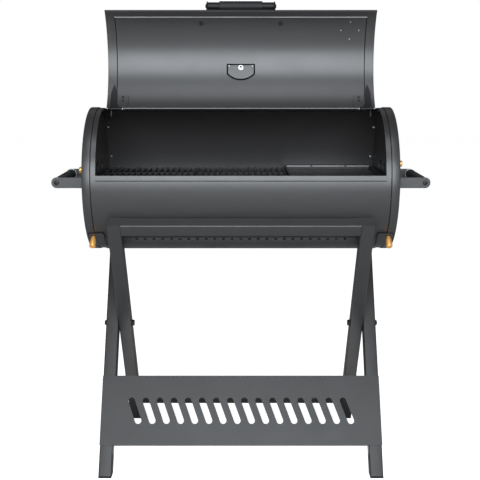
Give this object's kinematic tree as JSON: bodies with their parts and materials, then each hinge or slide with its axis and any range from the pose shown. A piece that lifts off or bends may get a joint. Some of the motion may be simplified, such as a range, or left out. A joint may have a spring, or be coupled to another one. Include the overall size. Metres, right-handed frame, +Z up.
{
  "type": "barrel charcoal smoker barbecue",
  "caption": "Barrel charcoal smoker and barbecue with hinged lid, cast grates, griddle plate, side handles and sliding air dampers on crossed square-tube legs.",
  "frame": {"origin": "on the floor, midway between the feet", "axes": "+X to the right along the drum, +Y to the rear, +Z up"},
  "size_m": [1.144, 0.5354, 1.4344],
  "materials": {
    "dark_paint": "satin powder coat",
    "black_paint": "satin",
    "zinc_steel": "zinc plated",
    "dark_steel": "blackened",
    "polished_steel": "polished",
    "bare_steel": "brushed",
    "copper": "polished copper colour",
    "cast_grate": "matt enamel",
    "black_plastic": "matt",
    "dial_white": "matt",
    "needle_red": "satin",
    "clear_glass": "clear"
  },
  "bodies": {
    "smoker_body": {"drum_shell": "dark_paint", "front_hem": "dark_paint", "rear_lip": "dark_paint", "left_end_ring": "dark_paint", "right_end_ring": "dark_paint", "left_end_disc": "dark_paint", "right_end_disc": "dark_paint", "end_flanges": "dark_paint", "end_rivets": "zinc_steel", "vent_pivots": "zinc_steel", "damper_screws": "zinc_steel", "left_hinge_bracket": "black_paint", "right_hinge_bracket": "black_paint", "hinge_pins": "zinc_steel", "hinge_screws": "zinc_steel", "left_handle": "dark_paint", "right_handle": "dark_paint", "left_handle_grip": "black_plastic", "right_handle_grip": "black_plastic", "side_handle_bolts": "zinc_steel", "grate_rails": "dark_paint", "charcoal_tray": "dark_paint", "tray_crossbars": "dark_paint", "ash_pan": "dark_paint", "inner_legs": "dark_paint", "outer_legs": "dark_paint", "front_beam": "dark_paint", "rear_beam": "dark_paint", "rear_crossbar": "dark_paint", "front_panel": "dark_paint", "leg_plugs": "black_plastic", "foot_pads": "black_plastic", "stand_bolts": "dark_steel"},
    "lid": {"lid_shell": "dark_paint", "lid_frame": "dark_paint", "left_lid_leaf": "black_paint", "right_lid_leaf": "black_paint", "lid_leaf_screws": "zinc_steel", "lid_handle_arms": "black_paint", "lid_handle_bar": "black_paint", "lid_handle_grip": "black_plastic", "lid_handle_bolts": "black_paint", "thermometer_case": "polished_steel", "thermometer_dial": "dial_white", "thermometer_glass": "clear_glass", "thermometer_backplate": "bare_steel", "thermometer_stem": "zinc_steel", "badge_plate": "bare_steel", "badge_rivets": "zinc_steel"},
    "gauge_needle": {"thermometer_needle": "needle_red"},
    "left_vent": {"left_vent_disc": "dark_paint", "left_vent_knob": "copper"},
    "right_vent": {"right_vent_disc": "dark_paint", "right_vent_knob": "copper"},
    "bottom_damper": {"damper_shell": "dark_paint", "left_damper_knob": "copper", "right_damper_knob": "copper"},
    "left_grate": {"left_grate": "cast_grate"},
    "centre_grate": {"centre_grate": "cast_grate"},
    "griddle": {"griddle_plate": "cast_grate"}
  },
  "joints": [
    {"name": "lid_hinge", "type": "hinge", "parent": "smoker_body", "child": "lid", "pos_m": [0, 0.02413, 1.10115], "axis": [1, 0, 0], "range_deg": [0, 130.3]},
    {"name": "gauge_needle_turn", "type": "hinge", "parent": "lid", "child": "gauge_needle", "pos_m": [0, 0.09773, 1.22562], "axis": [0, -0.9781, 0.2079], "range_deg": [0, 150], "stiffness_Nm_per_rad": 0.002},
    {"name": "left_vent_turn", "type": "hinge", "parent": "smoker_body", "child": "left_vent", "pos_m": [-0.4475, 0, 0.886], "axis": [-1, 0, 0], "range_deg": [0, 45]},
    {"name": "right_vent_turn", "type": "hinge", "parent": "smoker_body", "child": "right_vent", "pos_m": [0.4475, 0, 0.886], "axis": [-1, 0, 0], "range_deg": [0, 45]},
    {"name": "bottom_damper_turn", "type": "hinge", "parent": "smoker_body", "child": "bottom_damper", "pos_m": [0, 0, 0.886], "axis": [1, 0, 0], "range_deg": [0, 3.3]},
    {"name": "left_grate_lift", "type": "slide", "parent": "smoker_body", "child": "left_grate", "axis": [0, 0, 1], "range_m": [0, 0.03]},
    {"name": "centre_grate_lift", "type": "slide", "parent": "smoker_body", "child": "centre_grate", "axis": [0, 0, 1], "range_m": [0, 0.03]},
    {"name": "griddle_lift", "type": "slide", "parent": "smoker_body", "child": "griddle", "axis": [0, 0, 1], "range_m": [0, 0.03]}
  ]
}
